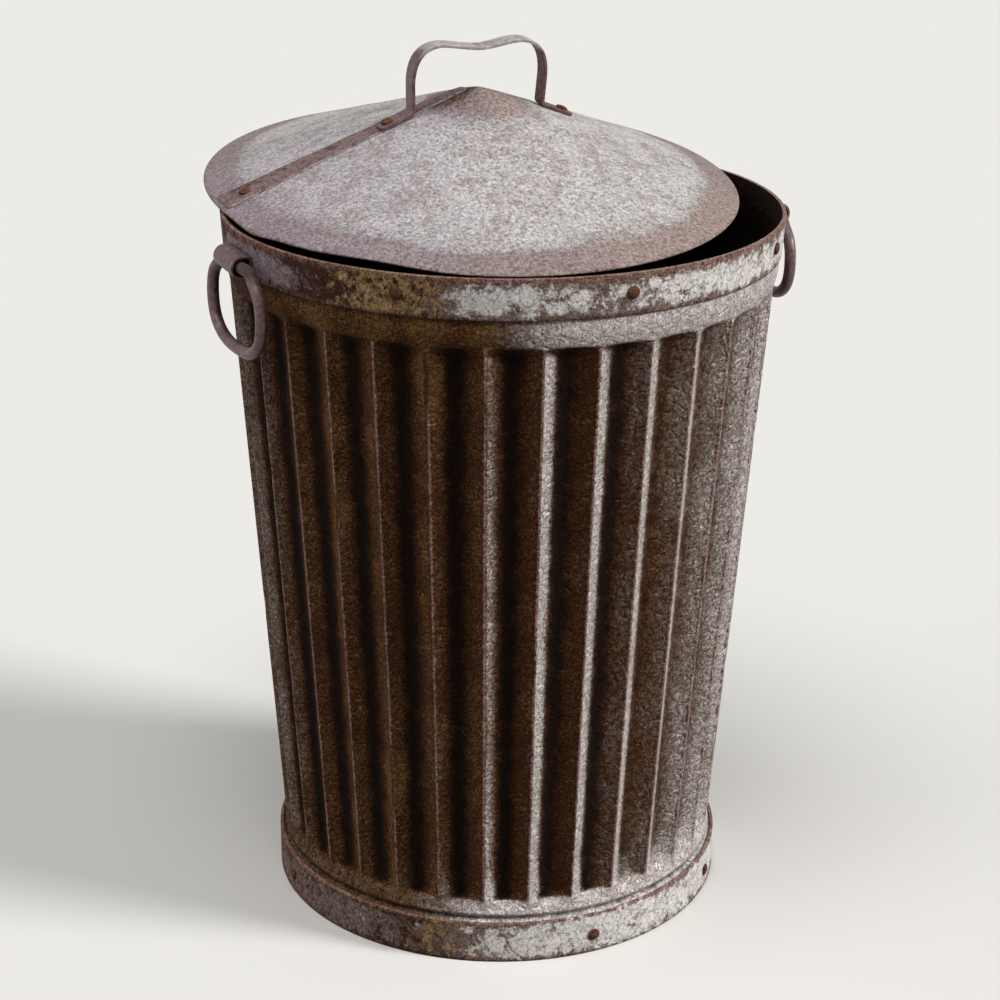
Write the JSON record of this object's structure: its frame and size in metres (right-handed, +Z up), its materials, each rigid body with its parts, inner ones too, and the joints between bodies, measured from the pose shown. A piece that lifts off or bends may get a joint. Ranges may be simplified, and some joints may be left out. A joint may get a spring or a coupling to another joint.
{
  "type": "galvanized steel trash can with lid",
  "caption": "Tapered fluted steel trash can with riveted hoops, swinging ring handles in strap brackets, and a loose conical lid with a strap handle, lying ajar on the rim.",
  "frame": {"origin": "on the can's axis at floor level, in the flat underside of the bottom pan", "axes": "+Z up along the can's axis, -X towards the left ring handle, +Y towards the back, where the lid overhangs the rim"},
  "size_m": [0.5484, 0.5747, 0.7985],
  "materials": {
    "wall_steel": "galvanised sheet steel, rust-browned and mottled",
    "pan_steel": "galvanised sheet steel, dull and dirty",
    "hoop_steel": "galvanised strip steel, zinc flaking over rust",
    "rivet_steel": "rusted steel rivet",
    "handle_steel": "dipped steel rod and strap, dull and browned",
    "lid_steel": "galvanised sheet steel, speckled grey",
    "seam_steel": "galvanised strip steel, rusted brown"
  },
  "bodies": {
    "can": {"body_shell": "wall_steel", "bottom_pan": "pan_steel", "rim_hoop": "hoop_steel", "base_hoop": "hoop_steel", "rim_rivet_1": "rivet_steel", "rim_rivet_2": "rivet_steel", "rim_rivet_3": "rivet_steel", "rim_rivet_4": "rivet_steel", "rim_rivet_5": "rivet_steel", "rim_rivet_6": "rivet_steel", "rim_rivet_7": "rivet_steel", "base_rivet_1": "rivet_steel", "base_rivet_2": "rivet_steel", "base_rivet_3": "rivet_steel", "base_rivet_4": "rivet_steel", "base_rivet_5": "rivet_steel", "base_rivet_6": "rivet_steel", "base_rivet_7": "rivet_steel", "base_rivet_8": "rivet_steel", "left_handle_bracket": "handle_steel", "left_bracket_rivet_1": "rivet_steel", "left_bracket_rivet_2": "rivet_steel", "right_handle_bracket": "handle_steel", "right_bracket_rivet_1": "rivet_steel", "right_bracket_rivet_2": "rivet_steel"},
    "left_ring": {"left_ring_handle": "handle_steel"},
    "right_ring": {"right_ring_handle": "handle_steel"},
    "lid": {"lid_cone": "lid_steel", "lid_seam_strip": "seam_steel", "lid_handle": "handle_steel", "lid_seam_rivet": "rivet_steel", "lid_handle_rivet_left": "rivet_steel", "lid_handle_rivet_right": "rivet_steel"}
  },
  "joints": [
    {"name": "left_ring_swing", "type": "hinge", "parent": "can", "child": "left_ring", "pos_m": [-0.26323, 0, 0.63625], "axis": [0, 1, 0], "range_deg": [-8, 180]},
    {"name": "right_ring_swing", "type": "hinge", "parent": "can", "child": "right_ring", "pos_m": [0.25795, -0.05248, 0.63625], "axis": [-0.1994, -0.9799, 0], "range_deg": [-8, 180]},
    {"name": "lid_lift", "type": "slide", "parent": "can", "child": "lid", "axis": [0, 0, 1], "range_m": [0, 0.2]}
  ]
}
